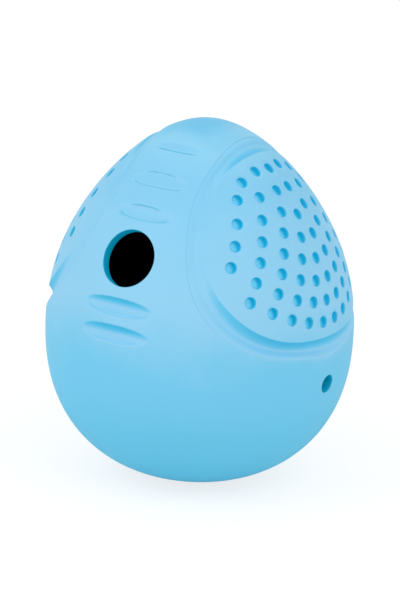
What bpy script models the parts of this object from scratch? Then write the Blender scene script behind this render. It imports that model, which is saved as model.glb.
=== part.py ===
# Treat ball: an egg-shaped rubber feeding toy that rights itself and drops feed as it rolls.
# Metres, +Z up. It stands on its round end at the origin, with the treat opening facing -Y
# and a dimpled panel on each side, at +X and -X.
import math

import bpy
import bmesh
from mathutils import Vector

for leftover in list(bpy.data.objects):
    bpy.data.objects.remove(leftover, do_unlink=True)

# The egg's outline: a tapering crown above the equator, a round bowl below it
egg_radius = 0.0466
crown_height = 0.0636
bowl_depth = 0.04675
crown_taper_share = 0.207
crown_taper_power = 2.28
bowl_power = 2.31
foot_radius = 0.008
wall = 0.0034

# Treat opening, at a share of the crown's height, and vent, at a share of the bowl's depth
opening_radius = 0.00875
opening_rise_share = 0.467
vent_radius = 0.0025
vent_drop_share = 0.184

# Finger grips: straight horizontal scoops above and below the opening, at shares of the crown's height
grip_radius = 0.0032
grip_length = 0.032
grip_rise_shares = (0.928, 0.791, 0.657, 0.252, 0.126)
grip_depths = (0.0012, 0.0015, 0.0012, 0.0015, 0.00145)

# Dimpled side panels, as seen square on from the side: a rounded triangle in a border groove.
# The half width is a share of the egg's radius, the half height and the middle are shares of the crown
panel_half_width_share = 0.7125
panel_half_height_share = 0.522
panel_middle_share = 0.4324
panel_lobe_shares = (0.086, -0.076, -0.010)
border_side_width = 0.0028
border_low_width = 0.0077
border_top_width = 0.0035
border_side_depth = 0.0003
border_low_depth = 0.00115
border_top_depth = 0.0006
border_step = 0.00013
border_cover = 0.001
border_corner_share = 0.75
border_crest_share = 0.6
valley_start_share = 0.45
valley_end_share = 0.60

# Dimples: rings about a point near the panel's top, of which the lower part is there. A whole ring
# would hold six more than the one inside it. The pitch is a share of the panel's half width and
# half height, the rings' centre a share of the crown
dimple_radius = 0.00185
dimple_floor_radius = 0.0011
dimple_depth = 0.0015
dimple_cover = 0.0006
dimple_pitch_share = 0.182
dimple_centre_share = 0.8255
ring_counts = (1, 4, 7, 8, 9, 10, 11, 10)
ring_growth = 6

# The end dimples of this ring would run into the border, so they sit lower and a little farther out
moved_ring = 2
moved_down_share = 0.35
moved_out_share = 0.075

# Ballast disc in its pocket, and the plug over it that is the chamber's floor
fit_gap = 0.0003
base_thickness = 0.0045
weight_radius = 0.020
weight_thickness = 0.009
weight_chamfer = 0.002
plug_radius = 0.024
plug_thickness = 0.004
plug_crown = 0.002
plug_edge = 0.0006
bead_reach = 0.0012
bead_height = 0.0022
floor_sweep_height = 0.008

# Overrun of a cutter past the face it cuts
overrun = 0.002

# Facets
egg_steps = 48
inner_steps = 32
crown_rows = 20
bowl_rows = 14
chamber_rows = 9
sweep_rows = 4
dome_rows = 4
border_stations = 48
opening_sides = 24
vent_sides = 12
grip_sides = 20
dimple_sides = 8

equator = bowl_depth * (1 - (foot_radius / egg_radius) ** bowl_power) ** (1 / bowl_power)
pocket_floor = base_thickness
weight_base = pocket_floor + fit_gap
weight_top = weight_base + weight_thickness
plug_base = weight_top + fit_gap
plug_rim = plug_base + plug_thickness
opening_rise = crown_height * opening_rise_share
vent_drop = bowl_depth * vent_drop_share
panel_half_width = egg_radius * panel_half_width_share
panel_half_height = crown_height * panel_half_height_share
panel_rise = crown_height * panel_middle_share
dimple_centre_rise = crown_height * dimple_centre_share
pitch_across = panel_half_width * dimple_pitch_share
pitch_upward = panel_half_height * dimple_pitch_share
half_turn = math.pi
quarter_turn = half_turn / 2


def egg_radius_at(rise):
    """Outer radius at a height above (or below) the equator."""
    if rise >= 0:
        share = min(rise / crown_height, 1)
        taper = 1 - crown_taper_share * share ** crown_taper_power
        return egg_radius * math.sqrt(1 - share * share) * taper
    share = min(-rise / bowl_depth, 1)
    return egg_radius * (1 - share ** bowl_power) ** (1 / bowl_power)


def egg_normal_at(rise):
    """Outward normal there, as its radial part and its upward part."""
    probe = egg_radius / 2000
    fall = (egg_radius_at(rise - probe) - egg_radius_at(rise + probe)) / (2 * probe)
    size = math.hypot(1, fall)
    return 1 / size, fall / size


def smooth(value):
    value = min(max(value, 0), 1)
    return value * value * (3 - 2 * value)


def side_point(side, lateral, rise, lift):
    """Point lifted off the egg's surface, placed by what is seen square on from one side."""
    radius = egg_radius_at(rise)
    out = math.sqrt(max(radius * radius - lateral * lateral, 0))
    radial, upward = egg_normal_at(rise)
    normal = Vector((side * out / radius * radial, lateral / radius * radial, upward))
    return Vector((side * out, lateral, equator + rise)) + normal * lift, normal


def front_point(rise, lift):
    """The same on the band that faces -Y."""
    radial, upward = egg_normal_at(rise)
    normal = Vector((0, -radial, upward))
    return Vector((0, -egg_radius_at(rise), equator + rise)) + normal * lift, normal


def new_collection(name):
    group = bpy.data.collections.new(name)
    bpy.context.scene.collection.children.link(group)
    return group


parts = new_collection("treat_ball")
cutters = new_collection("cutters")


def add_mesh(name, mesh, group):
    obj = bpy.data.objects.new(name, mesh)
    group.objects.link(obj)
    if group == cutters:
        obj.hide_render = True
        obj.display_type = "WIRE"
    return obj


def turned(name, profile, steps, group):
    """Solid of revolution from a profile that runs from the axis, down its outer side, to the axis."""
    mesh = bpy.data.meshes.new(name)
    mesh.from_pydata([(r, 0, z) for r, z in profile], [(i, i + 1) for i in range(len(profile) - 1)], [])
    obj = add_mesh(name, mesh, group)
    screw = obj.modifiers.new("turn", "SCREW")
    screw.axis = "Z"
    screw.steps = steps
    screw.render_steps = steps
    screw.use_merge_vertices = True
    screw.merge_threshold = fit_gap / 30
    return obj


def drill(name, centre, direction, radius, reach, sides):
    """Round cutter through a point, reaching as far on each side of it."""
    work = bmesh.new()
    bmesh.ops.create_cone(work, cap_ends=True, segments=sides, radius1=radius, radius2=radius,
                          depth=2 * reach)
    mesh = bpy.data.meshes.new(name)
    work.to_mesh(mesh)
    work.free()
    obj = add_mesh(name, mesh, cutters)
    obj.location = centre
    obj.rotation_mode = "QUATERNION"
    obj.rotation_quaternion = Vector((0, 0, 1)).rotation_difference(direction)
    return obj


def cut(obj, cutter):
    boolean = obj.modifiers.new("cut " + cutter.name, "BOOLEAN")
    boolean.operation = "DIFFERENCE"
    boolean.solver = "EXACT"
    boolean.object = cutter


def paint(obj, name, colour, roughness, metallic):
    material = bpy.data.materials.new(name)
    material.use_nodes = True
    shader = material.node_tree.nodes["Principled BSDF"]
    shader.inputs["Base Color"].default_value = (*colour, 1)
    shader.inputs["Roughness"].default_value = roughness
    shader.inputs["Metallic"].default_value = metallic
    obj.data.materials.append(material)
    obj.data.shade_smooth()


def outer_profile():
    """Top to bottom down the outside, ending in the flat foot."""
    points = []
    for row in range(crown_rows):
        rise = crown_height * math.cos(quarter_turn * row / crown_rows)
        points.append((egg_radius_at(rise), equator + rise))
    for row in range(bowl_rows + 1):
        drop = equator * math.sin(quarter_turn * row / bowl_rows)
        points.append((egg_radius_at(-drop), equator - drop))
    points.append((0, 0))
    return points


def chamber_profile():
    """The hollow: the inner wall, the sweep of the floor, the plug's seat and the ballast pocket."""
    sweep_top = plug_rim + floor_sweep_height - equator
    points = [(0, equator + crown_height - wall)]
    for row in range(1, 2 * chamber_rows):
        rise = crown_height * math.cos(quarter_turn * row / chamber_rows)
        if rise <= sweep_top:
            break
        radial, upward = egg_normal_at(rise)
        points.append((egg_radius_at(rise) - wall * radial, equator + rise - wall * upward))
    radial, upward = egg_normal_at(sweep_top)
    edge = egg_radius_at(sweep_top) - wall * radial
    bore = plug_radius + fit_gap
    for row in range(sweep_rows + 1):
        angle = quarter_turn * (1 - row / sweep_rows)
        points.append((bore + (edge - bore) * math.sin(angle),
                       plug_rim + floor_sweep_height * (1 - math.cos(angle))))
    middle = (plug_base + plug_rim) / 2
    half_groove = bead_height / 2 + fit_gap
    points += [
        (bore, middle + half_groove),
        (bore + bead_reach, middle),
        (bore, middle - half_groove),
        (bore, weight_top),
        (weight_radius + fit_gap, weight_top),
        (weight_radius + fit_gap, pocket_floor + weight_chamfer),
        (weight_radius + fit_gap - weight_chamfer, pocket_floor),
        (0, pocket_floor),
    ]
    return points


def border_place(angle, inset):
    """Lateral and rise, seen from the side, of a point inset from the panel border's outer crease."""
    second, third, fifth = panel_lobe_shares
    lobes = second * math.cos(2 * angle) + third * math.sin(3 * angle) + fifth * math.sin(5 * angle)
    lateral = (panel_half_width * (1 + lobes) - inset) * math.cos(angle)
    rise = (panel_half_height * (1 + lobes) - inset) * math.sin(angle)
    return lateral, panel_rise + rise


def border_blend(angle, side_value, low_value, top_value):
    """A border size that changes from the sides to the lower edge and to the crest."""
    low = smooth(-math.sin(angle) / border_corner_share)
    top = smooth((math.sin(angle) - border_crest_share) / (1 - border_crest_share))
    return side_value + (low_value - side_value) * low + (top_value - side_value) * top


def border_cutter(side):
    """Closed ring of one section: a small step, a sinking ramp, a valley, a steep wall."""
    verts = []
    for station in range(border_stations):
        angle = 2 * half_turn * station / border_stations
        width = border_blend(angle, border_side_width, border_low_width, border_top_width)
        depth = border_blend(angle, border_side_depth, border_low_depth, border_top_depth)
        section = ((0, border_cover), (0, -border_step), (valley_start_share, -depth),
                   (valley_end_share, -depth), (1, 0), (1, border_cover))
        for share, lift in section:
            lateral, rise = border_place(angle, width * share)
            point, _ = side_point(side, lateral, rise, lift)
            verts.append(point)
    corners = len(section)
    faces = []
    for station in range(border_stations):
        for corner in range(corners):
            here = station * corners
            ahead = (station + 1) % border_stations * corners
            turn = (corner + 1) % corners
            faces.append((here + corner, ahead + corner, ahead + turn, here + turn))
    mesh = bpy.data.meshes.new("panel border")
    mesh.from_pydata(verts, [], faces)
    work = bmesh.new()
    work.from_mesh(mesh)
    bmesh.ops.recalc_face_normals(work, faces=work.faces)
    work.to_mesh(mesh)
    work.free()
    return add_mesh("panel border", mesh, cutters)


def dimple_cutter(side):
    """All the pits of one panel, each a blunt cone along the surface's normal."""
    flare = (dimple_radius - dimple_floor_radius) / dimple_depth
    work = bmesh.new()
    for ring, count in enumerate(ring_counts):
        spacing = 2 * half_turn / (ring_growth * max(ring, 1))
        for place in range(count):
            angle = -quarter_turn + spacing * (place - (count - 1) / 2)
            lateral = pitch_across * ring * math.cos(angle)
            rise = dimple_centre_rise + pitch_upward * ring * math.sin(angle)
            if ring == moved_ring and place in (0, count - 1):
                lateral += math.copysign(pitch_across * moved_out_share, lateral)
                rise -= pitch_upward * moved_down_share
            point, normal = side_point(side, lateral, rise, (dimple_cover - dimple_depth) / 2)
            turn = Vector((0, 0, 1)).rotation_difference(normal).to_matrix().to_4x4()
            turn.translation = point
            bmesh.ops.create_cone(work, cap_ends=True, segments=dimple_sides, radius1=dimple_floor_radius,
                                  radius2=dimple_radius + flare * dimple_cover,
                                  depth=dimple_depth + dimple_cover, matrix=turn)
    mesh = bpy.data.meshes.new("dimples")
    work.to_mesh(mesh)
    work.free()
    return add_mesh("dimples", mesh, cutters)


def make_shell():
    """The rubber egg, one moulding, hollowed and cut."""
    shell = turned("rubber_shell", outer_profile(), egg_steps, parts)
    cut(shell, turned("chamber", chamber_profile(), inner_steps, cutters))
    for side in (-1, 1):
        cut(shell, border_cutter(side))
        cut(shell, dimple_cutter(side))
    for share, depth in zip(grip_rise_shares, grip_depths):
        centre, _ = front_point(crown_height * share, grip_radius - depth)
        cut(shell, drill("grip", centre, Vector((1, 0, 0)), grip_radius, grip_length / 2, grip_sides))
    centre, normal = front_point(opening_rise, -wall / 2)
    cut(shell, drill("opening", centre, normal, opening_radius, wall + overrun, opening_sides))
    centre, normal = side_point(1, 0, -vent_drop, -wall / 2)
    cut(shell, drill("vent", centre, normal, vent_radius, wall + overrun, vent_sides))
    shell.modifiers.new("even shading", "WEIGHTED_NORMAL")
    paint(shell, "sky blue rubber", (0.20, 0.60, 0.85), 0.55, 0)


def make_weight():
    """Iron disc that keeps the egg upright."""
    profile = [
        (0, weight_top),
        (weight_radius, weight_top),
        (weight_radius, weight_base + weight_chamfer),
        (weight_radius - weight_chamfer, weight_base),
        (0, weight_base),
    ]
    weight = turned("ballast_weight", profile, inner_steps, parts)
    paint(weight, "grey iron", (0.16, 0.16, 0.17), 0.6, 1)


def make_floor():
    """Rubber plug with a crowned top and a bead that snaps into the shell's groove."""
    middle = (plug_base + plug_rim) / 2
    profile = [(0, plug_rim + plug_crown)]
    dome = plug_radius - plug_edge
    for row in range(1, dome_rows + 1):
        share = row / dome_rows
        profile.append((dome * share, plug_rim + plug_crown * (1 - share * share)))
    profile += [
        (plug_radius, plug_rim - plug_edge),
        (plug_radius, middle + bead_height / 2),
        (plug_radius + bead_reach - fit_gap, middle),
        (plug_radius, middle - bead_height / 2),
        (plug_radius, plug_base),
        (0, plug_base),
    ]
    plug = turned("chamber_floor", profile, inner_steps, parts)
    paint(plug, "sky blue rubber floor", (0.20, 0.60, 0.85), 0.55, 0)


make_shell()
make_weight()
make_floor()
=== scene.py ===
# Treat ball, the looks: a hollow rubber egg with finger grips, a round opening and two dimpled panels
import math

import bmesh
import bpy
import numpy as np
from mathutils import Matrix, Vector
from mathutils.geometry import delaunay_2d_cdt


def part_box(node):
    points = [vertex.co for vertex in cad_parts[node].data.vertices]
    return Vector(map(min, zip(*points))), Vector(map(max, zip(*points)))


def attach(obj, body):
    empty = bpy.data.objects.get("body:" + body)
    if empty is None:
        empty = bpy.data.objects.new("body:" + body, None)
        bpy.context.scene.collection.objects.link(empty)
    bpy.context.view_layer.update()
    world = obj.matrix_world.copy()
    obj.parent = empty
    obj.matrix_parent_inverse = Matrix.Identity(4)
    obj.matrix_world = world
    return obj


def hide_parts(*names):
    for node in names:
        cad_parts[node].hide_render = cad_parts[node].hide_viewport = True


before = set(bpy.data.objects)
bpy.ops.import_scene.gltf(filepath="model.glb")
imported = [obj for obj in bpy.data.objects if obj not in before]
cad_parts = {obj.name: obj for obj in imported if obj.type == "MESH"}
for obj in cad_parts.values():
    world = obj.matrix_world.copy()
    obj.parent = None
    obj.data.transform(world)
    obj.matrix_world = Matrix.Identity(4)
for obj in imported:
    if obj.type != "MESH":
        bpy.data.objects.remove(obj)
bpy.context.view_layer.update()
_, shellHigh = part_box("rubber_shell")
weightLow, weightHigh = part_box("ballast_weight")
plugLow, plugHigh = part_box("chamber_floor")

mm = 0.001
tiny = 1e-9  # keeps a divisor off zero
up = np.array([0.0, 0.0, 1.0])

# The egg itself; its width and height come from the frame
egg = {
    "radius": shellHigh.y,
    "crown": 63.6 * mm,  # from the equator to the narrow end
    "taper": 0.207,
    "taperPower": 2.28,
    "bowlPower": 2.31,
    "foot": 8.0 * mm,
    "wall": 3.4 * mm,
    "samples": 900,
}
egg["equator"] = shellHigh.z - egg["crown"]
footShare = (1 - (egg["foot"] / egg["radius"]) ** egg["bowlPower"]) ** (1 / egg["bowlPower"])
egg["bowl"] = egg["equator"] / footShare  # depth of the bowl if it came to a point instead of the foot


# Profile from the narrow end down, with its outward normal as a radial and an upward part.
# Above the equator r = R sqrt(1 - s^2) (1 - k s^m), s being the share of the crown;
# below it r = R (1 - s^n)^(1/n), s being the share of the bowl. depth moves it inwards along the normal.
def eggProfile(depth):
    turn = np.linspace(0, math.pi / 2, egg["samples"])
    s, m = np.cos(turn), egg["taperPower"]
    shrink = 1 - egg["taper"] * s ** m
    r = egg["radius"] * np.sin(turn) * shrink
    z = egg["equator"] + egg["crown"] * s
    radial = np.sin(turn)
    upward = egg["radius"] / egg["crown"] * (s * shrink + (1 - s * s) * egg["taper"] * m * s ** (m - 1))
    n = egg["bowlPower"]
    q = np.sin(turn[1:]) * egg["equator"] / egg["bowl"]
    r = np.append(r, egg["radius"] * (1 - q ** n) ** (1 / n))
    z = np.append(z, egg["equator"] - egg["bowl"] * q)
    radial = np.append(radial, (1 - q ** n) ** (1 - 1 / n))
    upward = np.append(upward, -egg["radius"] / egg["bowl"] * q ** (n - 1))
    size = np.hypot(radial, upward)
    radial, upward = radial / size, upward / size
    r, z = r - depth * radial, z - depth * upward
    arc = np.append(0, np.cumsum(np.hypot(np.diff(r), np.diff(z))))
    # distance from the middle on a flat map that keeps angles: d(map) / map = d(arc) / r
    bend = np.zeros_like(arc)
    bend[1:] = 1 / r[1:] - 1 / arc[1:]
    spread = arc * np.exp(np.append(0, np.cumsum((bend[1:] + bend[:-1]) / 2 * np.diff(arc))))
    table = {"z": z, "r": r, "arc": arc, "spread": spread, "radial": radial, "upward": upward}
    return {name: values[::-1] for name, values in table.items()}  # turned round, so that heights rise


outer = eggProfile(0)
inner = eggProfile(egg["wall"])


# any column of a profile's table, read at a height
def at(profile, name, z):
    return np.interp(z, profile["z"], profile[name])


# height of a profile at an arc length from its narrow end
def heightAt(profile, arc):
    return np.interp(arc, profile["arc"][::-1], profile["z"][::-1])


# outward normals of a profile's surface at points on it
def normals(profile, points):
    x, y, z = np.moveaxis(points, -1, 0)
    radial = at(profile, "radial", z) / np.maximum(np.hypot(x, y), tiny)
    return np.stack([x * radial, y * radial, at(profile, "upward", z)], -1)


# how far along a direction the surface lies from each starting point, found by halving a span
def meet(profile, start, direction, span=9 * mm, halvings=28):
    low, high = np.full(start.shape[:-1], -span), np.full(start.shape[:-1], span)
    for _ in range(halvings):
        middle = (low + high) / 2
        point = start + middle[..., None] * direction
        outside = np.hypot(point[..., 0], point[..., 1]) > at(profile, "r", point[..., 2])
        low, high = np.where(outside, low, middle), np.where(outside, middle, high)
    return (low + high) / 2


# point on the outer surface and its frame: sideways, upwards along the surface, outwards
def frameAt(points):
    outward = normals(outer, points)
    sideways = np.cross(up, outward)
    sideways /= np.linalg.norm(sideways, axis=-1, keepdims=True)
    return points, sideways, np.cross(outward, sideways), outward


# point on the egg, placed by what is seen square on from one side
def sidePoint(side, lateral, rise):
    z = egg["equator"] + rise
    out = np.sqrt(np.maximum(at(outer, "r", z) ** 2 - lateral ** 2, 0))
    return np.stack([side * out, lateral + 0 * z, z], -1)


# point on the egg on the band that faces -Y
def frontPoint(rise):
    z = egg["equator"] + rise
    return np.array([0.0, -at(outer, "r", z), z])


# quads of a grid of rows and columns, whose last column joins its first
def gridFaces(rows, columns):
    row, column = np.meshgrid(np.arange(rows - 1), np.arange(columns), indexing="ij")
    ahead = (column + 1) % columns
    quads = np.stack([row * columns + column, row * columns + ahead,
                      (row + 1) * columns + ahead, (row + 1) * columns + column], -1)
    return quads.reshape(-1, 4)


# profile carried round the axis: (r sin t, -r cos t, z), t being counted from -Y towards +X
def lathe(profile, columns):
    r, z = np.array(profile).T[..., None]
    turn = np.arange(columns) / columns * 2 * math.pi
    return np.stack([r * np.sin(turn), -r * np.cos(turn), z + 0 * turn], -1)


# one mesh from patches of points, faces and tones for each point, welded where they meet
def weld(name, patches, tones=("hollow",), distance=0.002 * mm):
    points, faces, start = [], [], 0
    for patch in patches:
        flat = patch["points"].reshape(-1, 3)
        faces += (patch["faces"] + start).tolist()
        points.append(flat)
        start += len(flat)
    mesh = bpy.data.meshes.new(name)
    mesh.from_pydata(np.concatenate(points), [], faces)
    for tone in tones:
        values = [(patch.get(tone, 0.0) + 0 * patch["points"][..., 0]).ravel() for patch in patches]
        layer = mesh.attributes.new(tone, "FLOAT", "POINT")
        layer.data.foreach_set("value", np.concatenate(values).astype(np.float32))
    work = bmesh.new()
    work.from_mesh(mesh)
    bmesh.ops.remove_doubles(work, verts=work.verts, dist=distance)
    bmesh.ops.recalc_face_normals(work, faces=work.faces)
    openEdges = [edge for edge in work.edges if len(edge.link_faces) != 2]
    print(name, "faces", len(work.faces), "open edges", len(openEdges))
    work.to_mesh(mesh)
    work.free()
    mesh.shade_smooth()
    piece = bpy.data.objects.new(name, mesh)
    bpy.context.scene.collection.objects.link(piece)
    return piece


# rings on a profile's surface at given arc lengths, their points one spacing apart, and every other ring
# turned by half a step
def ringPoints(profile, arcs, spacing, fewest=5):
    radius = np.interp(arcs, profile["arc"][::-1], profile["r"][::-1])
    counts = np.maximum(np.round(2 * math.pi * radius / spacing), fewest).astype(int)
    ring = np.repeat(np.arange(len(arcs)), counts)
    step = np.arange(len(ring)) - np.repeat(np.cumsum(counts) - counts, counts)
    turn = (step + 0.5 * (ring % 2)) / counts[ring] * 2 * math.pi
    r = radius[ring]
    return np.stack([r * np.sin(turn), -r * np.cos(turn), heightAt(profile, arcs)[ring]], -1)


# the same from near the narrow end down to a seam, with rings as far apart as in equal-sided triangles
def evenPoints(profile, first, last, spacing, rowShare=0.87, endShare=0.6):
    return ringPoints(profile, np.arange(first, last - endShare * spacing, rowShare * spacing), spacing)


# Delaunay net through loops and loose points on a surface of revolution, made on its flat map;
# also gives each point's loop by its number, or -1 for a loose one
def net(profile, loops, loose):
    points = np.concatenate([*loops, loose])
    reach = np.maximum(np.hypot(points[:, 0], points[:, 1]), tiny)
    flat = points[:, :2] * (at(profile, "spread", points[:, 2]) / reach)[:, None] / profile["spread"].max()
    edges, start = [], 0
    for loop in loops:
        here = np.arange(len(loop))
        edges += np.stack([start + here, start + np.roll(here, -1)], -1).tolist()
        start += len(loop)
    places = [Vector(place) for place in flat.tolist()]
    wholeHull = 0
    joined, _, faces, *_ = delaunay_2d_cdt(places, edges, [], wholeHull, tiny, True)
    assert len(joined) == len(points), "points of the net fell together"
    owner = np.repeat([*range(len(loops)), -1], [len(part) for part in (*loops, loose)])
    return points, np.array(faces), owner


# 0 up to 0 and 1 from 1 on, eased between them
def smooth(value):
    value = np.clip(value, 0, 1)
    return value * value * (3 - 2 * value)


# the same between two limits, of which the second may be the lower one
def ramp(value, limits):
    start, full = limits
    return smooth((value - start) / (full - start))


# Side panels, seen square on: a rounded triangle inside a border groove.
# Angles are in degrees round its middle, from +Y upwards, and shares across the groove run inwards.
panel = {
    "middle": 27.5 * mm,
    # distance from the middle: its mean, then its parts in sin a, cos 2a, sin 3a, cos 4a, sin 5a and cos 6a
    "crease": (33.07 * mm, -0.02 * mm, 3.29 * mm, -2.66 * mm, 0.18 * mm, -0.54 * mm, -0.41 * mm),
    "flushEdge": (28.90 * mm, 2.58 * mm, 3.93 * mm, -1.64 * mm, 0.28 * mm, -0.40 * mm, 0.0),
    "depth": (0.30 * mm, 1.15 * mm, 0.60 * mm),  # groove at the sides, below and at the crest
    "step": 0.13 * mm,
    "rim": 0.25 * mm,  # flush strip outside the crease
    "strip": 0.28 * mm,  # flush strip inside the groove
    "bottom": 0.50,  # share of the width where the groove is deepest
    "ease": 1.4,  # power that starts the slope below the crease later
    "lean": 2.2,  # power that pushes the steep wall towards the flush edge
    "frontCorner": 0.55,  # share by which the groove is deeper at the lower corner nearest -Y
    "frontCornerAt": -152,
    "backCorner": 0.40,  # and shallower at the one farthest from it
    "backCornerAt": -25,
    "backCornerCosines": (0.5, 1.0),
    "corner": 0.75,  # sine of the angle below which the groove has its low form
    "crest": 0.6,  # and above which the crest's form starts
    "stations": 420,
    "rows": (0.02, 0.06, 0.11, 0.17, 0.24, 0.31, 0.38, 0.45, 0.52,
             0.58, 0.64, 0.70, 0.75, 0.80, 0.85, 0.90, 0.95, 1.0),
    "creaseRows": (-0.05 * mm, 0.03 * mm),  # close on both sides of the crease
    "edgeRow": 0.08 * mm,  # just inside the flush edge
}

# Its painted shade: how strong each part is, and between which shares across the groove it grows
panelShade = {
    "most": 0.7,  # of the tone by how far a wall is turned
    "back": 0.6,  # weight of the turn back against the turn down
    "crease": 0.3,
    "creaseSines": (-0.625, 0.0),
    "lowWall": 0.27,  # steep wall below
    "lowWallShares": (0.58, 0.83),
    "lowEdge": 0.16,  # its upper edge
    "lowEdgeShares": (0.88, 0.94),
    "frontWall": 0.40,  # steep wall at the front lower corner
    "frontWallAt": -148,
    "frontWallCosines": (0.84, 0.96),
    "frontWallShares": (0.55, 0.80),
    "crestBottom": 0.48,  # bottom at the crest
    "crestHollow": 0.08,
    "crestShares": (0.35, 0.85),
    "crestFaint": 0.15,  # part of it that starts lower
    "crestFaintSines": (0.3, 0.8),
    "crestSines": (0.8, 0.95),
}


def lowShare(angle):
    return smooth(-np.sin(angle) / panel["corner"])


# a groove size that changes from the sides to the lower edge and to the crest
def blend(angle, sizes):
    side, low, top = sizes
    topShare = ramp(np.sin(angle), (panel["crest"], 1))
    return side + (low - side) * lowShare(angle) + (top - side) * topShare


# distance of one of the panel's outlines from its middle, the sum of its parts
def outlineOf(name, angle):
    waves = (1, np.sin(angle), np.cos(2 * angle), np.sin(3 * angle), np.cos(4 * angle), np.sin(5 * angle),
             np.cos(6 * angle))
    return sum(part * wave for part, wave in zip(panel[name], waves))


def grooveWidth(angle):
    return outlineOf("crease", angle) - outlineOf("flushEdge", angle)


# how far inside the crease a point lies, and where the flush strip inside the groove ends there
def insetOf(lateral, rise):
    angle = np.arctan2(rise - panel["middle"], lateral)
    inset = outlineOf("crease", angle) - np.hypot(lateral, rise - panel["middle"])
    return inset, grooveWidth(angle) + panel["strip"]


def backCorner(angle):
    near = np.cos(angle - math.radians(panel["backCornerAt"]))
    return panel["backCorner"] * ramp(near, panel["backCornerCosines"])


# Groove across its width v: a small step at the crease, then step + (depth - step) sin^2 of the eased way
# down to the bottom, then depth (1 - t^lean), t being the share of the way up to the flush edge
def grooveDepth(angle, v):
    bottom = panel["bottom"]
    front = panel["frontCorner"] * smooth(np.cos(angle - math.radians(panel["frontCornerAt"])))
    deepest = blend(angle, panel["depth"]) * (1 + front - backCorner(angle))
    way = np.clip(v / bottom, 0, 1) ** panel["ease"]
    down = panel["step"] + (deepest - panel["step"]) * np.sin(math.pi / 2 * way) ** 2
    back = deepest * (1 - np.clip((v - bottom) / (1 - bottom), 0, 1) ** panel["lean"])
    return np.where(v < 0, 0, np.where(v < bottom, down, back))


# Tones of the groove. Its walls grow darker the more they are turned down or back from the egg's own surface,
# and the wall below, its front corner and the crest have tones of their own. The first two rows lie outside
# the crease, the third just inside it.
# painted shade: walls turned down or back from the egg's surface, a dark line at the crease, the low wall and
# the crest
def grooveShade(angle, v, turnedDown, turnedBack):
    tones = panelShade
    tone = np.minimum(np.clip(turnedDown, 0, 1) + tones["back"] * np.clip(turnedBack, 0, 1), tones["most"])
    tone[:2] = 0
    tone[2] += tones["crease"] * ramp(np.sin(angle), tones["creaseSines"])
    front = ramp(np.cos(angle - math.radians(tones["frontWallAt"])), tones["frontWallCosines"])
    tone = np.maximum(tone, tones["frontWall"] * front * ramp(v, tones["frontWallShares"]))
    faint = tones["crestFaint"] * ramp(np.sin(angle), tones["crestFaintSines"])
    top = faint + (1 - tones["crestFaint"]) * ramp(np.sin(angle), tones["crestSines"])
    top = top * ramp(v, tones["crestShares"])
    dark = tones["lowWall"] * ramp(v, tones["lowWallShares"])
    dark += tones["lowEdge"] * ramp(v, tones["lowEdgeShares"])
    dark = np.maximum(dark * lowShare(angle) * (1 - backCorner(angle)), tones["crestHollow"] * top)
    inGroove = v < 0.999
    return np.maximum(tone, tones["crestBottom"] * top) * inGroove, dark * inGroove


# Grid of the groove: points of the outline moved inwards row by row, then sunk along the egg's normal
def borderRings(side):
    angle = np.arange(panel["stations"]) / panel["stations"] * 2 * math.pi
    width = grooveWidth(angle)
    outside, first = panel["creaseRows"]
    inset = np.concatenate([np.array([[-panel["rim"]], [outside], [first]]) + 0 * angle,
                            np.array(panel["rows"])[:, None] * (width - first) + first,
                            width + np.array([[panel["edgeRow"]], [panel["strip"]]])])
    v = inset / width
    depth = grooveDepth(angle, v)
    reach = outlineOf("crease", angle) - inset
    lateral, rise = reach * np.cos(angle), panel["middle"] + reach * np.sin(angle)
    points = sidePoint(side, lateral, rise)
    outward = normals(outer, points)
    points = points - outward * depth[..., None]
    # the groove's own normals, all turned outwards
    facing = np.cross(np.gradient(points, axis=0), np.roll(points, -1, axis=1) - np.roll(points, 1, axis=1))
    facing *= np.sign((facing * outward).sum(-1) / np.linalg.norm(facing, axis=-1))[..., None]
    facing /= np.linalg.norm(facing, axis=-1, keepdims=True)
    turn = facing - outward
    # painted shade from how far each bit of the groove turns down or back
    shade, dark = grooveShade(angle, v, -turn[..., 2], turn[..., 1])
    return {"points": points, "faces": gridFaces(*depth.shape), "shade": shade, "hollow": dark}


# Dimples: rings about a point near the panel's top, of which the lower part is there
dimples = {
    # from the lip to the floor: distance from the middle and depth, both in mm, painted shade and painted
    # light
    "section": ((1.90, 0.02, 0.0, 0.0), (1.80, 0.08, 0.2, 0.0), (1.72, 0.20, 0.6, 0.0),
                (1.60, 0.55, 0.9, 0.0), (1.46, 0.95, 1.0, 0.3), (1.30, 1.26, 1.0, 0.6),
                (1.08, 1.44, 1.0, 1.0), (0.75, 1.50, 1.0, 1.0), (0.40, 1.50, 1.0, 1.0),
                (0.00, 1.50, 1.0, 1.0)),
    "radius": 1.96 * mm,  # of the lip's outer edge
    "columns": 28,
    "lean": 0.25,  # how far the pits lean towards the draw of the mould
    "pitch": 6.04 * mm,  # from ring to ring
    "centre": 52.85 * mm,
    "counts": (1, 4, 7, 8, 9, 10, 11, 10),
    "movedRing": 2,  # its end dimples clear the border by sitting lower and farther out
    "moved": (0.45 * mm, -2.1 * mm),
    # a dimple's painted shade grows from one side to the other across its radius, as light from one side
    # leaves it
    "darkWay": 18,  # degrees above the way back
    "darkFrom": -0.88,  # where it starts at the lip
    "darkSpan": 0.8,
    "darkShift": 0.76,  # how much farther it starts on the floor
}


# ring k holds places 60 / k degrees apart, to both sides of straight down
def dimplePlaces():
    counts = np.array(dimples["counts"])
    ring = np.repeat(np.arange(len(counts)), counts)
    place = np.arange(len(ring)) - np.repeat(np.cumsum(counts) - counts, counts)
    middle = (counts[ring] - 1) / 2
    angle = -math.pi / 2 + math.pi / 3 / np.maximum(ring, 1) * (place - middle)
    lateral = dimples["pitch"] * ring * np.cos(angle)
    rise = dimples["centre"] + dimples["pitch"] * ring * np.sin(angle)
    ends = (ring == dimples["movedRing"]) & (np.abs(place - middle) == middle)
    return lateral + ends * np.sign(lateral) * dimples["moved"][0], rise + ends * dimples["moved"][1]


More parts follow.
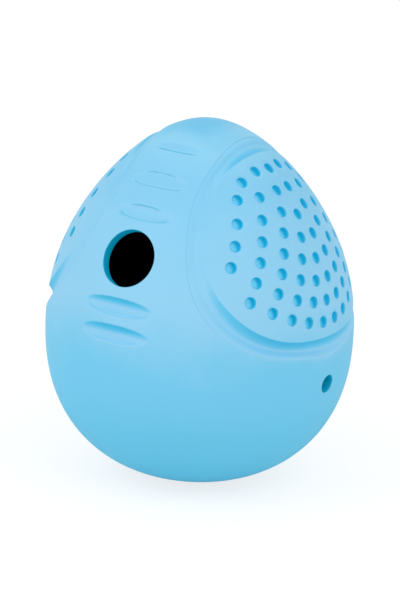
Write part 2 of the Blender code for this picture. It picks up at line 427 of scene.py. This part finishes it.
# rings about each place in its frame, lifted onto the egg, then sunk along the pit's leaning axis
def dimpleCups(side):
    lateral, rise = dimplePlaces()
    place, sideways, upwards, outward = frameAt(sidePoint(side, lateral, rise))
    section = np.vstack([(dimples["radius"] / mm, 0, 0, 0), dimples["section"]])
    reach, depth, tone, pitFloorLight = section.T
    reach, depth = reach * mm, depth * mm
    turn = np.arange(dimples["columns"]) / dimples["columns"] * 2 * math.pi
    a, b = np.outer(reach, np.cos(turn)), np.outer(reach, np.sin(turn))
    place, sideways, upwards, outward = (each[:, None, None] for each in (place, sideways, upwards, outward))
    start = place + sideways * a[..., None] + upwards * b[..., None]
    lift = meet(outer, start, outward + 0 * start)
    draw = -outward - dimples["lean"] * side * np.array([1.0, 0, 0])
    draw /= np.linalg.norm(draw, axis=-1, keepdims=True)
    points = start + outward * lift[..., None] + draw * depth[:, None, None]
    # painted shade, darkest towards the back and a little upwards, and painted light on the floors
    way = math.radians(dimples["darkWay"])
    across = (side * a * math.cos(way) + b * math.sin(way)) / dimples["radius"]
    pale = dimples["darkFrom"] + dimples["darkShift"] * depth[:, None] / depth.max()
    dark = tone[:, None] * smooth((across - pale) / dimples["darkSpan"])
    one = gridFaces(len(reach), dimples["columns"])
    faces = one + (np.arange(len(rise)) * len(reach) * dimples["columns"])[:, None, None]
    return {"points": points, "faces": faces.reshape(-1, 4), "hollow": dark + 0 * lift,
            "pitFloorLight": pitFloorLight[:, None] + 0 * lift}


# Finger grips: straight horizontal scoops, cylinders along X that cut the front
grips = {
    "radius": 3.2 * mm,
    "length": 32.0 * mm,
    "rises": np.array([58.5, 50.3, 41.8, 15.9, 8.0]) * mm,
    "depths": np.array([1.2, 1.5, 1.2, 1.5, 1.45]) * mm,
    "floors": np.array([0.7, 0.6, 0.7, 9.0, 9.0]) * mm,  # depth towards which each floor flattens
    "fades": np.array([1.0, 0.0, 0.0, 0.0, 0.0]),  # share by which each fades out upwards
    "fade": (-1.7 * mm, 1.2 * mm),  # height above a scoop's middle line where that starts and is full
    "soft": 0.08 * mm,  # rounding of their lips
    # the finer net about them
    "zone": 13.5 * mm,  # half its width
    "apron": 0.9 * mm,  # how high the cylinder may lie above the egg at its edge
    "row": 0.27 * mm,
    "along": 0.45 * mm,
}

# Their tones. Slopes are upward parts of the egg's normal, downs those of a wall's against it, and shares run
# from 0 at a scoop's ends to 1 in its middle.
# painted shade of the scoops: turned-down walls, under the lips and fine lines inside the lips
gripShade = {
    "shade": 0.6,  # walls that are turned down
    "shadeDowns": (-0.05, 0.55),
    "wallDepth": 0.15 * mm,  # where a wall's tone is full
    "lit": 0.75,  # how much of the shade the light from above takes away on the slope
    "litSlopes": (0.2, 0.6),
    "underLip": 0.42,  # painted shade under upper lips where the egg stands upright
    "underDowns": (-0.02, 0.33),
    "underSlopes": (0.8, 0.2),
    "underFactors": (0.5, 1.0),  # at a scoop's ends and in its middle
    "lineDepth": 0.25 * mm,  # painted shade: fine dark lines inside the lips
    "lineWidth": 0.3 * mm,
    "lineHalf": 0.75 * mm,  # height from the middle line where a line is wholly an upper or a lower one
    "upperLine": 0.46,
    "upperShares": (0.55, 0.90),
    "upperSlopes": (0.5, 0.65),
    "upperFactors": (0.8, 1.3),  # off the slope and on it
    "lowerLine": 0.38,
    "lowerShares": (0.0, 0.3),
    "lowerSlopes": (0.0, 0.6),
    "lowerFactors": (0.1, 1.0),
    "lineShadow": 0.24,  # their share of the chamber's darkness
}


def between(factors, share):
    low, high = factors
    return low + (high - low) * share


# painted shade on a scoop's walls and under its upper lip
def gripWall(down, slope, share):
    tones = gripShade
    lit = 1 - tones["lit"] * ramp(slope, tones["litSlopes"])
    shade = tones["shade"] * lit * ramp(down, tones["shadeDowns"])
    under = tones["underLip"] * ramp(down, tones["underDowns"]) * ramp(slope, tones["underSlopes"])
    return shade, under * between(tones["underFactors"], smooth(share))


# painted shade of the fine dark lines inside its lips
def gripLine(s, climb, slope, share, fade):
    tones = gripShade
    above = ramp(climb, (-tones["lineHalf"], tones["lineHalf"]))
    upper = tones["upperLine"] * (1 - fade) * above * ramp(share, tones["upperShares"])
    upper = upper * between(tones["upperFactors"], ramp(slope, tones["upperSlopes"]))
    lower = tones["lowerLine"] * (1 - above) * ramp(share, tones["lowerShares"])
    lower = lower * between(tones["lowerFactors"], ramp(slope, tones["lowerSlopes"]))
    return smooth(1 - np.abs(s - tones["lineDepth"]) / tones["lineWidth"]) * (upper + lower)


# One scoop's depth below the egg: the way down its normal to the cylinder,
# s = (q.n + sqrt((q.n)^2 + n.n (radius^2 - q.q))) / n.n, eased in over a small length at the lips,
# then floor (1 - e^(-s / floor)). Also its tones, and which points need the finer net.
def scoop(points, outward, rise, depth, floor, fade):
    middle = frontPoint(rise)
    straight = normals(outer, middle)
    q = (points - middle - straight * (grips["radius"] - depth))[..., 1:]
    along, square = (q * outward).sum(-1), (outward ** 2).sum(-1)
    inside = along ** 2 + square * (grips["radius"] ** 2 - (q ** 2).sum(-1))
    s = (along + np.sqrt(np.maximum(inside, 0))) / np.maximum(square, tiny)
    beside = np.abs(points[..., 0])
    here = (points[..., 1] < 0) & (beside < grips["length"] / 2) & (along < 0) & (inside > 0)
    soft = grips["soft"]
    eased = np.where(here, np.where(s > soft, s, np.maximum(s + soft, 0) ** 2 / (4 * soft)), 0)
    climb = q @ np.array([straight[2], -straight[1]])
    kept = 1 - fade * ramp(climb, grips["fade"])
    sunk = floor * (1 - np.exp(-eased / floor)) * kept

    # painted shade of its walls, under its lip and in fine lines at the lips
    slope = outward[..., 1]
    down = (q[..., 1] - slope * s) / grips["radius"]
    share = 1 - beside ** 2 / (2 * -middle[1] * depth)
    shade, under = gripWall(down, slope, share)
    line = here * gripLine(s, climb, slope, share, fade)
    wall = here * smooth(s / gripShade["wallDepth"])
    near = here & (s > -grips["apron"]) & (beside < grips["zone"])
    return sunk, shade * wall * kept, np.maximum(under * wall, line), gripShade["lineShadow"] * line, near


# all scoops together, the largest value holding at each point
def gripDepth(points):
    outward = normals(outer, points)[..., 1:]
    sizes = zip(grips["rises"], grips["depths"], grips["floors"], grips["fades"])
    values = zip(*(scoop(points, outward, *each) for each in sizes))
    # shade, recess shade and the lines' share of the chamber's near black are all painted shade
    names = ("sunk", "shade", "hollow", "inside", "near")
    return {name: np.max(each, axis=0) for name, each in zip(names, values)}


# Treat opening and vent: round tunnels along the surface's normal
opening = {"rise": 29.7 * mm, "radius": 8.62 * mm, "lip": 0.20 * mm, "columns": 72, "rows": 7}
vent = {"drop": 9.25 * mm, "radius": 2.8 * mm, "lip": 0.22 * mm, "columns": 30, "rows": 5}


# circles between the egg's two skins, flared and sunk at both ends by quarter circles
def tunnel(place, settings, lipRows=5, lipTone=0.8):
    place, sideways, upwards, outward = frameAt(place)
    lip, radius = settings["lip"], settings["radius"]
    edge = np.linspace(0, math.pi / 2, lipRows)
    flare, sunk = radius + lip * (1 - np.sin(edge)), (lip * (1 - np.cos(edge)))[:, None]
    turn = np.arange(settings["columns"]) / settings["columns"] * 2 * math.pi
    reach = np.concatenate([flare, np.full(settings["rows"], radius), flare[::-1]])
    start = (place + sideways * np.outer(reach, np.cos(turn))[..., None]
             + upwards * np.outer(reach, np.sin(turn))[..., None])
    direction = outward + 0 * start
    top, bottom = meet(outer, start, direction), meet(inner, start, direction)
    across = np.linspace(0, 1, settings["rows"] + 2)[1:-1, None]
    middle = top[lipRows:-lipRows] + (bottom - top)[lipRows:-lipRows] * across
    height = np.concatenate([top[:lipRows] - sunk, middle, bottom[-lipRows:] + sunk[::-1]])
    # painted shade down the tunnel, growing over the lip to lipTone and full inside
    tone = np.append(np.linspace(0, lipTone, lipRows), np.ones(len(reach) - lipRows))[:, None] + 0 * height
    points = start + direction * height[..., None]
    return {"points": points, "faces": gridFaces(*height.shape), "hollow": tone, "centre": place,
            "axis": outward, "clear": radius + lip}


# loose points of a net that keep off its round holes
def awayFrom(points, holes, clearance, ownSide=12 * mm):
    keep = np.ones(len(points), bool)
    for hole in holes:
        offset = points - hole["centre"]
        along = offset @ hole["axis"]
        reach = np.sqrt(np.maximum((offset ** 2).sum(-1) - along ** 2, 0))
        keep &= (reach > hole["clear"] + clearance) | (np.abs(along) > ownSide)
    return points[keep]


# faces of a net without those that fill one of the given loops
def outsideLoops(faces, owner, loops):
    same = (owner[faces] == owner[faces[:, :1]]).all(-1)
    return faces[~(same & np.isin(owner[faces[:, 0]], loops))]


# The shell's outer side: how fine its surfaces are, and how far loose points keep from what is let into them
skin = {
    "low": -13.0 * mm,  # rise where the net of the upper part meets the turned bowl
    "spacing": 1.4 * mm,
    "top": 0.4 * mm,  # arc length from the narrow end to the first ring
    "fineTop": 3.0 * mm,
    "holeGap": 0.35 * mm,
    "borderGap": 0.4 * mm,
    "dimpleGap": 0.75 * mm,
    "panelsFrom": 4.0 * mm,  # the panels lie farther than this from the plane x = 0
    "bowlColumns": 192,
    "bowlStep": 1.7 * mm,
    "footShares": (0.97, 0.7, 0.35, 0),  # rings of the flat foot
}


def makeShell():
    holes = [tunnel(frontPoint(opening["rise"]), opening),
             tunnel(sidePoint(1, np.array(0.0), np.array(-vent["drop"])), vent)]
    borders = [borderRings(side) for side in (-1, 1)]
    cups = [dimpleCups(side) for side in (-1, 1)]
    print("openings, borders and dimples laid out")

    netLow = egg["equator"] + skin["low"]
    lowArc = at(outer, "arc", netLow)
    coarse = evenPoints(outer, skin["top"], lowArc, skin["spacing"])
    fine = np.arange(skin["fineTop"], lowArc - grips["along"], grips["row"])
    fine = ringPoints(outer, fine, grips["along"])
    coarse = coarse[~gripDepth(coarse)["near"]]
    fine = fine[gripDepth(fine)["near"]]
    loose = awayFrom(np.concatenate([coarse, fine]), holes, skin["holeGap"])
    inset, reach = insetOf(loose[:, 1], loose[:, 2] - egg["equator"])
    gap, onSide = skin["borderGap"], np.abs(loose[:, 0]) > skin["panelsFrom"]
    loose = loose[~(onSide & (inset > -panel["rim"] - gap) & (inset < reach + gap))]
    for cup in cups:
        centres = cup["points"][:, -1, 0]
        nearest = np.linalg.norm(loose[:, None] - centres[None], axis=-1).min(1)
        loose = loose[nearest > dimples["radius"] + skin["dimpleGap"]]

    loops = [lathe([(at(outer, "r", netLow), netLow)], skin["bowlColumns"])[0]]
    holeLoops = range(1, 1 + len(holes))
    loops += [hole["points"][0] for hole in holes]
    borderLoops = range(len(loops), len(loops) + 2 * len(borders), 2)
    for border in borders:
        loops += [border["points"][0], border["points"][-1]]
    rimLoops = range(len(loops), len(loops) + sum(len(cup["points"]) for cup in cups))
    loops += [rim for cup in cups for rim in cup["points"][:, 0]]
    points, faces, owner = net(outer, loops, loose)
    faces = outsideLoops(faces, owner, [*holeLoops, *rimLoops])
    # the band between a border's two loops is left free for the groove's own grid
    for first in borderLoops:
        middle = points[faces].mean(1)
        inset, reach = insetOf(middle[:, 1], middle[:, 2] - egg["equator"])
        band = np.isin(owner[faces], (first, first + 1)).all(-1)
        faces = faces[~(band & (inset > -panel["rim"]) & (inset < reach))]
    # only loose points sink, since those on a loop join another patch
    dents = {name: values * (owner == -1) for name, values in gripDepth(points).items()}
    crown = {"points": points - normals(outer, points) * dents["sunk"][:, None], "faces": faces,
             "shade": dents["shade"], "hollow": dents["hollow"], "inside": dents["inside"]}
    print("crown net", len(faces))

    arcs = np.linspace(lowArc, outer["arc"].max(), round((outer["arc"].max() - lowArc) / skin["bowlStep"]))
    heights = heightAt(outer, arcs)
    profile = list(zip(at(outer, "r", heights), heights))
    profile[0] = (at(outer, "r", netLow), netLow)
    profile[-1] = (egg["foot"], 0)
    profile += [(egg["foot"] * share, 0) for share in skin["footShares"]]
    bowl = lathe(profile, skin["bowlColumns"])
    bowl = {"points": bowl, "faces": gridFaces(*bowl.shape[:2])}

    patches = [crown, bowl, *borders, *cups, *holes, *makeChamber(holes)]
    return weld("rubberShell", patches, ("hollow", "shade", "pitFloorLight", "inside"))


# Inside of the shell: its inner wall, the sweep of its floor, the plug's seat and the ballast's pocket
chamber = {
    "columns": 96,
    "spacing": 3.0 * mm,
    "top": 0.8 * mm,  # arc length from the narrow end to the first ring
    "holeGap": 0.8 * mm,
    "sweep": 8.0 * mm,
    "sweepRows": 9,
    "gap": 0.3 * mm,  # round the plug and the ballast
    "plug": 24.0 * mm,  # its radius
    "plugRim": 4.0 * mm,  # its height at the edge
    "beadHeight": 2.2 * mm,
    "chamfer": 2.0 * mm,  # of the ballast and its pocket
}


def makeChamber(holes):
    gap = chamber["gap"]
    bore = chamber["plug"] + gap
    plugRim = plugLow.z + chamber["plugRim"]
    sweepTop = plugRim + chamber["sweep"]
    seam = lathe([(at(inner, "r", sweepTop), sweepTop)], chamber["columns"])[0]
    lowArc = at(inner, "arc", sweepTop)
    loose = evenPoints(inner, chamber["top"], lowArc, chamber["spacing"])
    loose = awayFrom(loose, holes, chamber["holeGap"])
    points, faces, owner = net(inner, [seam] + [hole["points"][-1] for hole in holes], loose)
    faces = outsideLoops(faces, owner, range(1, 1 + len(holes)))
    # the inner wall is painted with the recess shade and the chamber's near black in full
    wall = {"points": points, "faces": faces, "hollow": 1.0, "inside": 1.0}

    turn = np.linspace(math.pi / 2, 0, chamber["sweepRows"])
    edge = at(inner, "r", sweepTop)
    profile = list(zip(bore + (edge - bore) * np.sin(turn), plugRim + chamber["sweep"] * (1 - np.cos(turn))))
    middle = (plugLow.z + plugRim) / 2
    half = chamber["beadHeight"] / 2 + gap
    pocket = weightHigh.x + gap
    low, chamfer = weightLow.z - gap, chamber["chamfer"]
    profile += [(bore, middle + half), (plugHigh.x + 2 * gap, middle), (bore, middle - half),
                (bore, weightHigh.z), (pocket, weightHigh.z), (pocket, low + chamfer),
                (pocket - chamfer, low), (pocket / 2, low), (0, low)]
    floor = lathe(profile, chamber["columns"])
    # and so are the sweep of the floor, the plug's seat and the ballast's pocket
    return [wall, {"points": floor, "faces": gridFaces(*floor.shape[:2]), "hollow": 1.0, "inside": 1.0}]


# outline with each corner between its ends rounded by a quadratic curve, as a list of points
def rounded(corners, radius, steps=4, most=0.45):
    corners = np.array(corners)
    points = [corners[0]]
    for before, here, after in zip(corners[:-2], corners[1:-1], corners[2:]):
        a, b = before - here, after - here
        reach = min(radius, most * np.linalg.norm(a), most * np.linalg.norm(b))
        a, b = here + a / np.linalg.norm(a) * reach, here + b / np.linalg.norm(b) * reach
        share = np.linspace(0, 1, steps + 1)[:, None]
        points += list((1 - share) ** 2 * a + 2 * share * (1 - share) * here + share ** 2 * b)
    return np.array(points + [corners[-1]])


# Ballast: a cast iron disc
ballast = {"columns": 96, "round": 0.6 * mm}


def makeBallast():
    r, low, high, chamfer = weightHigh.x, weightLow.z, weightHigh.z, chamber["chamfer"]
    corners = [(0, high), (r, high), (r, low + chamfer), (r - chamfer, low), (0, low)]
    outline = rounded(corners, ballast["round"])
    points = lathe(outline, ballast["columns"])
    return weld("ballastWeight", [{"points": points, "faces": gridFaces(*points.shape[:2])}])


# Plug over the ballast, the chamber's floor: a crowned top and a bead round its edge
# its tone is painted shade, as it lies in the dark chamber
plug = {"columns": 120, "crown": 2.0 * mm, "edge": 0.6 * mm, "round": 0.35 * mm, "domeRows": 14, "tone": 0.6}


# the top rises by crown (1 - share^2), the share being that of the way out to its edge
def makePlug():
    r, low, rim = chamber["plug"], plugLow.z, plugLow.z + chamber["plugRim"]
    share = np.linspace(0, 1, plug["domeRows"])
    dome = np.stack([(r - plug["edge"]) * share, rim + plug["crown"] * (1 - share ** 2)], -1)
    middle, half = (low + rim) / 2, chamber["beadHeight"] / 2
    corners = [dome[-1], (r, rim - plug["edge"]), (r, middle + half), (plugHigh.x, middle),
               (r, middle - half), (r, low), (0, low)]
    points = lathe(np.concatenate([dome[:-1], rounded(corners, plug["round"])]), plug["columns"])
    faces = gridFaces(*points.shape[:2])
    return weld("chamberFloor", [{"points": points, "faces": faces, "hollow": plug["tone"]}])


# node whose inputs are set, or linked where they are given another node's output
def addNode(tree, kind, inputs=(), **settings):
    node = tree.nodes.new(kind)
    for name, value in settings.items():
        setattr(node, name, value)
    for socket, value in dict(inputs).items():
        if isinstance(value, bpy.types.NodeSocket):
            tree.links.new(value, node.inputs[socket])
        else:
            node.inputs[socket].default_value = value
    return node


def newGroup(name, inputs, outputs):
    tree = bpy.data.node_groups.new(name, "ShaderNodeTree")
    for label, kind, value in inputs:
        socket = tree.interface.new_socket(label, in_out="INPUT", socket_type=kind)
        socket.default_value = value
    for label, kind in outputs:
        tree.interface.new_socket(label, in_out="OUTPUT", socket_type=kind)
    return tree, addNode(tree, "NodeGroupInput"), addNode(tree, "NodeGroupOutput")


def startMaterial(name):
    material = bpy.data.materials.new(name)
    material.use_nodes = True
    tree = material.node_tree
    return material, tree, tree.nodes["Principled BSDF"]


# inputs 6 and 7 and output 2 are the Mix node's sockets for colours
def mixColour(tree, factor, a, b):
    node = addNode(tree, "ShaderNodeMix", data_type="RGBA")
    for socket, value in ((node.inputs[0], factor), (node.inputs[6], a), (node.inputs[7], b)):
        if isinstance(value, bpy.types.NodeSocket):
            tree.links.new(value, socket)
        else:
            socket.default_value = value
    return node.outputs[2]


def addRamp(tree, value, stops):
    node = addNode(tree, "ShaderNodeValToRGB", {0: value})
    scale = node.color_ramp
    scale.interpolation = "EASE"
    for _ in stops[2:]:
        scale.elements.new(0.5)
    for element, (place, colour) in zip(scale.elements, stops):
        element.position, element.color = place, colour
    return node.outputs["Color"]


# moulded grain: a soft mottle for the tone and a fine uneven height
def grainGroup():
    tree, given, result = newGroup("mouldedGrain", [
        ("Mottle Size", "NodeSocketFloat", 60.0), ("Grain Size", "NodeSocketFloat", 2200.0)],
        [("Tone", "NodeSocketFloat"), ("Height", "NodeSocketFloat")])
    place = addNode(tree, "ShaderNodeTexCoord").outputs["Object"]
    mottle = addNode(tree, "ShaderNodeTexNoise", {"Vector": place, "Scale": given.outputs["Mottle Size"],
                                                  "Detail": 3.0, "Roughness": 0.55})
    grain = addNode(tree, "ShaderNodeTexNoise", {"Vector": place, "Scale": given.outputs["Grain Size"],
                                                 "Detail": 2.0, "Roughness": 0.6})
    tone = addNode(tree, "ShaderNodeMapRange", {"Value": mottle.outputs["Fac"],
                                                "From Min": 0.3, "From Max": 0.7})
    tree.links.new(tone.outputs["Result"], result.inputs["Tone"])
    tree.links.new(grain.outputs["Fac"], result.inputs["Height"])
    return tree


rubber = {
    # painted light and shade by facing: how far the surface is turned up, from 0 for facing down to 1 for
    # facing up, and the colour painted there
    "body": ((0.00, (0.090, 0.580, 0.820, 1)), (0.25, (0.145, 0.597, 0.845, 1)),
             (0.45, (0.175, 0.602, 0.865, 1)), (0.63, (0.292, 0.640, 0.885, 1)),
             (0.75, (0.273, 0.630, 0.880, 1)), (0.85, (0.241, 0.612, 0.873, 1)),
             (0.93, (0.277, 0.645, 0.885, 1)), (1.00, (0.170, 0.562, 0.832, 1))),
    "shade": (0.095, 0.530, 0.845, 1),  # painted shade on walls of shallow hollows that are turned down
    "pitFloorLight": (0.205, 0.725, 0.960, 1),  # painted light on the floors of the pits, a brighter blue as if light gathered colour there
    "hollow": (0.001, 0.500, 0.772, 1),  # painted shade in recesses: walls of pits and tunnels, grooves, under the grip lips, the chamber and its plug
    "inside": (0.001, 0.006, 0.014, 1),  # painted shade: near black on the chamber's faces, where little light gets in
    "stir": 0.028,  # how far the mottle moves the place in the body's colours
    "mottle": 55.0,
    "plugMottle": 80.0,
    "roughness": (0.50, 0.62),
    "specular": 0.15,
    "bump": 0.06,
    "bumpDepth": 0.1 * mm,
}


# rubber: the colour with painted light and shade by how far the surface is turned up, then the painted shade
# and light of the mesh's tones
def rubberGroup(grain):
    tree, given, result = newGroup("mouldedRubber", [
        ("Mottle Size", "NodeSocketFloat", rubber["mottle"]), ("Grain Size", "NodeSocketFloat", 2400.0)],
        [("Color", "NodeSocketColor"), ("Roughness", "NodeSocketFloat"), ("Height", "NodeSocketFloat")])
    effect = addNode(tree, "ShaderNodeGroup", node_tree=grain)
    tree.links.new(given.outputs["Mottle Size"], effect.inputs["Mottle Size"])
    tree.links.new(given.outputs["Grain Size"], effect.inputs["Grain Size"])
    normal = addNode(tree, "ShaderNodeTexCoord").outputs["Normal"]
    facing = addNode(tree, "ShaderNodeSeparateXYZ", {"Vector": normal})
    turnedUp = addNode(tree, "ShaderNodeMapRange", {"Value": facing.outputs["Z"], "From Min": -1.0})
    stir = addNode(tree, "ShaderNodeMapRange", {"Value": effect.outputs["Tone"],
                                                "To Min": -rubber["stir"], "To Max": rubber["stir"]})
    place = addNode(tree, "ShaderNodeMath", {0: turnedUp.outputs["Result"], 1: stir.outputs["Result"]},
                    operation="ADD", use_clamp=True)
    # the body colour paints light and shade by which way the surface faces
    colour = addRamp(tree, place.outputs[0], rubber["body"])
    # each tone paints shade or light over it: turned-down walls, lit pit floors, recesses and the dark
    # chamber
    for tone in ("shade", "pitFloorLight", "hollow", "inside"):
        share = addNode(tree, "ShaderNodeAttribute", attribute_name=tone).outputs["Fac"]
        colour = mixColour(tree, share, colour, rubber[tone])
    low, high = rubber["roughness"]
    rough = addNode(tree, "ShaderNodeMapRange", {"Value": effect.outputs["Tone"],
                                                 "To Min": low, "To Max": high})
    tree.links.new(colour, result.inputs["Color"])
    tree.links.new(rough.outputs["Result"], result.inputs["Roughness"])
    tree.links.new(effect.outputs["Height"], result.inputs["Height"])
    return tree


def makeRubber(name, group, mottle):
    material, tree, shader = startMaterial(name)
    effect = addNode(tree, "ShaderNodeGroup", node_tree=group)
    effect.inputs["Mottle Size"].default_value = mottle
    tree.links.new(effect.outputs["Color"], shader.inputs["Base Color"])
    tree.links.new(effect.outputs["Roughness"], shader.inputs["Roughness"])
    shader.inputs["Specular IOR Level"].default_value = rubber["specular"]
    bump = addNode(tree, "ShaderNodeBump", {"Strength": rubber["bump"], "Distance": rubber["bumpDepth"],
                                            "Height": effect.outputs["Height"]})
    tree.links.new(bump.outputs["Normal"], shader.inputs["Normal"])
    return material


iron = {
    "light": (0.20, 0.20, 0.21, 1),
    "dark": (0.09, 0.085, 0.085, 1),
    "mottle": 140.0,
    "grain": 1500.0,
    "roughness": (0.55, 0.75),
    "bump": 0.5,
    "bumpDepth": 0.1 * mm,
}


def makeIron(grain):
    material, tree, shader = startMaterial("castIron")
    effect = addNode(tree, "ShaderNodeGroup", node_tree=grain)
    effect.inputs["Mottle Size"].default_value = iron["mottle"]
    effect.inputs["Grain Size"].default_value = iron["grain"]
    colour = mixColour(tree, effect.outputs["Tone"], iron["dark"], iron["light"])
    tree.links.new(colour, shader.inputs["Base Color"])
    low, high = iron["roughness"]
    rough = addNode(tree, "ShaderNodeMapRange", {"Value": effect.outputs["Height"],
                                                 "To Min": low, "To Max": high})
    tree.links.new(rough.outputs["Result"], shader.inputs["Roughness"])
    shader.inputs["Metallic"].default_value = 1.0
    bump = addNode(tree, "ShaderNodeBump", {"Strength": iron["bump"], "Distance": iron["bumpDepth"],
                                            "Height": effect.outputs["Height"]})
    tree.links.new(bump.outputs["Normal"], shader.inputs["Normal"])
    return material


grain = grainGroup()
moulded = rubberGroup(grain)
shellRubber = makeRubber("skyRubber", moulded, rubber["mottle"])
plugRubber = makeRubber("skyRubberPlug", moulded, rubber["plugMottle"])
castIron = makeIron(grain)
print("materials made")

shell, weight, floorPlug = makeShell(), makeBallast(), makePlug()
for piece, node, slot, material in ((shell, "rubber_shell", "shell_rubber", shellRubber),
                                    (weight, "ballast_weight", "ballast_iron", castIron),
                                    (floorPlug, "chamber_floor", "floor_rubber", plugRubber)):
    piece.data.materials.append(material)
    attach(piece, "root")
    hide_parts(node)
print("pieces placed")

# Studio: a pale floor, a white surround, soft lamps and the photograph's camera
studio = {
    "floorSize": 6.0,
    "floor": (0.86, 0.86, 0.86, 1),  # as it lights the object, with a faint glow
    "floorBounce": 0.10,
    "floorSeen": (0.30, 0.30, 0.30, 1),  # as it is seen, with a glow
    "floorGlow": 0.76,
    "surround": 0.74,
    "lamps": (  # azimuth and height seen from the object, distance, size, share of full light
        (-31, 39, 1.3, 0.8, 0.205),
        (77, 45, 1.3, 0.8, 0.180),
    ),
}


def directionTo(azimuth, height):
    azimuth, height = math.radians(azimuth), math.radians(height)
    level = math.cos(height)
    return Vector((math.sin(azimuth) * level, -math.cos(azimuth) * level, math.sin(height)))


# 1 for rays that show the floor and the surround, 0 for those that light the object
def seenRays(tree):
    path = addNode(tree, "ShaderNodeLightPath")
    direct, glossy = path.outputs["Is Camera Ray"], path.outputs["Is Glossy Ray"]
    either = addNode(tree, "ShaderNodeMath", {0: direct, 1: glossy}, operation="MAXIMUM")
    return addNode(tree, "ShaderNodeMath", {0: either.outputs[0], 1: path.outputs["Is Transmission Ray"]},
                   operation="MAXIMUM").outputs[0]


def makeFloor():
    half = studio["floorSize"] / 2
    mesh = bpy.data.meshes.new("floor")
    corners = [(-half, -half, 0), (half, -half, 0), (half, half, 0), (-half, half, 0)]
    mesh.from_pydata(corners, [], [(0, 1, 2, 3)])
    floor = bpy.data.objects.new("floor", mesh)
    bpy.context.scene.collection.objects.link(floor)
    material, tree, shader = startMaterial("paleFloor")
    tree.nodes.remove(shader)
    looks = []
    for colour, glow in (("floor", "floorBounce"), ("floorSeen", "floorGlow")):
        diffuse = addNode(tree, "ShaderNodeBsdfDiffuse", {"Color": studio[colour]})
        emission = addNode(tree, "ShaderNodeEmission", {"Strength": studio[glow]})
        looks.append(addNode(tree, "ShaderNodeAddShader", {0: diffuse.outputs[0], 1: emission.outputs[0]}))
    lighting, seen = (look.outputs[0] for look in looks)
    both = addNode(tree, "ShaderNodeMixShader", {0: seenRays(tree), 1: lighting, 2: seen})
    tree.links.new(both.outputs[0], tree.nodes["Material Output"].inputs["Surface"])
    mesh.materials.append(material)


def makeSurround():
    world = bpy.data.worlds.new("surround")
    bpy.context.scene.world = world
    world.use_nodes = True
    tree = world.node_tree
    back = tree.nodes["Background"]
    strength = addNode(tree, "ShaderNodeMapRange", {"Value": seenRays(tree), "To Min": studio["surround"],
                                                    "To Max": 1.0})
    back.inputs["Color"].default_value = (1, 1, 1, 1)
    tree.links.new(strength.outputs["Result"], back.inputs["Strength"])


def makeLamps(target):
    for number, (azimuth, height, distance, size, share) in enumerate(studio["lamps"]):
        data = bpy.data.lights.new("softLamp%d" % number, "AREA")
        data.shape, data.size = "SQUARE", size
        data.energy = share * (math.pi * distance) ** 2
        lamp = bpy.data.objects.new(data.name, data)
        direction = directionTo(azimuth, height)
        lamp.location = target + direction * distance
        lamp.rotation_mode = "QUATERNION"
        lamp.rotation_quaternion = direction.to_track_quat("Z", "Y")
        bpy.context.scene.collection.objects.link(lamp)


camera = {
    "azimuth": 33.4,
    "height": 17.7,
    "distance": 1125.6 * mm,
    "roll": 0.039,
    "lens": 223.5,
    "sensor": 36,  # along the picture's long side
    "clip": (0.05, 50),
    "aim": (0.09 * mm, 7.03 * mm),  # right of and above the egg's middle
}


def makeCamera(middle):
    data = bpy.data.cameras.new("camera")
    data.lens, data.sensor_width = camera["lens"], camera["sensor"]
    data.clip_start, data.clip_end = camera["clip"]
    viewer = bpy.data.objects.new("camera", data)
    back = directionTo(camera["azimuth"], camera["height"])
    right = Vector((0, 0, 1)).cross(back).normalized()
    above = back.cross(right)
    c, s = math.cos(camera["roll"]), math.sin(camera["roll"])
    right, above = c * right + s * above, c * above - s * right
    place = middle + back * camera["distance"]
    aim = middle + right * camera["aim"][0] + above * camera["aim"][1]
    back = (place - aim).normalized()
    right = above.cross(back).normalized()
    above = back.cross(right)
    viewer.matrix_world = Matrix.Translation(place) @ Matrix((right, above, back)).transposed().to_4x4()
    bpy.context.scene.collection.objects.link(viewer)
    bpy.context.scene.camera = viewer


middle = Vector((0, 0, egg["equator"]))
makeFloor()
makeSurround()
makeLamps(middle)
makeCamera(middle)
bpy.context.scene.view_settings.view_transform = "Standard"
print("studio set")
